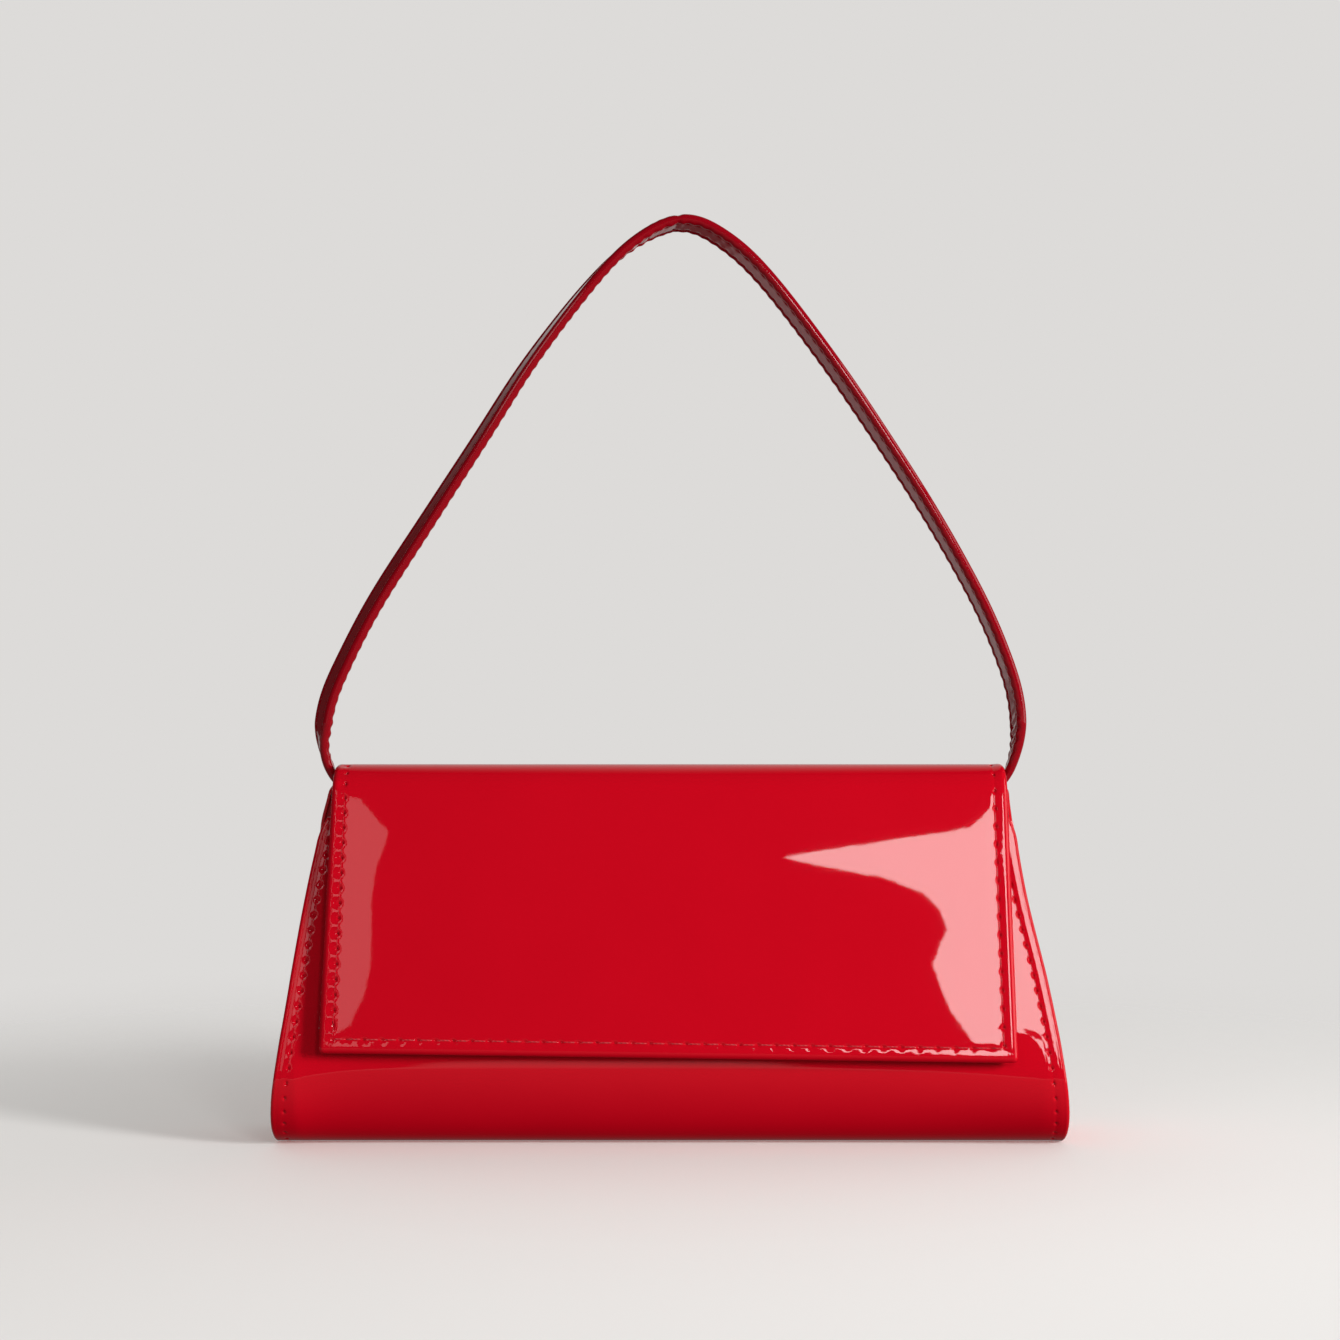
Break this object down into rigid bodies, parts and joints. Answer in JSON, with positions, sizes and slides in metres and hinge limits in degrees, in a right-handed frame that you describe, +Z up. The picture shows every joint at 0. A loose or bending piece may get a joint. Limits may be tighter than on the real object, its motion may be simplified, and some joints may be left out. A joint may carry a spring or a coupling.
{
  "type": "flap handbag",
  "caption": "Tapered baguette handbag in glossy sheet: a folded case, a stiffened flap that rolls over the top to a magnetic snap, and a thin shoulder strap.",
  "frame": {"origin": "middle of the base, on the surface that the bag stands on", "axes": "+X across the bag to its left-hand side as worn, -Y out of the front panel, +Z up towards the strap"},
  "size_m": [0.26, 0.0645, 0.3098],
  "materials": {
    "patent": "clear-coated, mirror gloss",
    "board": "pressed fibre board, matt",
    "lining": "plain woven polyester",
    "snap_metal": "bright plated",
    "magnet": "dark, plated"
  },
  "bodies": {
    "case": {"body_wrap": "patent", "front_board": "board", "base_board": "board", "back_board": "board", "gusset_left": "patent", "gusset_right": "patent", "gusset_lining_left": "lining", "gusset_lining_right": "lining", "lining": "lining", "front_facing": "patent", "back_facing": "patent", "slip_pocket": "lining", "snap_socket": "snap_metal", "snap_magnet": "magnet", "snap_socket_washer": "snap_metal", "strap_end_left": "patent", "strap_end_right": "patent"},
    "flap": {"flap_skin": "patent", "flap_board": "board", "flap_lining": "patent", "snap_stud": "snap_metal", "snap_stud_washer": "snap_metal"},
    "strap": {"strap": "patent", "strap_core": "board", "strap_backing": "patent"}
  },
  "joints": [
    {"name": "flap_fold", "type": "hinge", "parent": "case", "child": "flap", "pos_m": [0, 0.0095, 0.1152], "axis": [-1, 0, 0], "range_deg": [0, 100]},
    {"name": "strap_swing", "type": "hinge", "parent": "case", "child": "strap", "pos_m": [0, 0, 0.1215], "axis": [1, 0, 0], "range_deg": [-90, 90]}
  ]
}
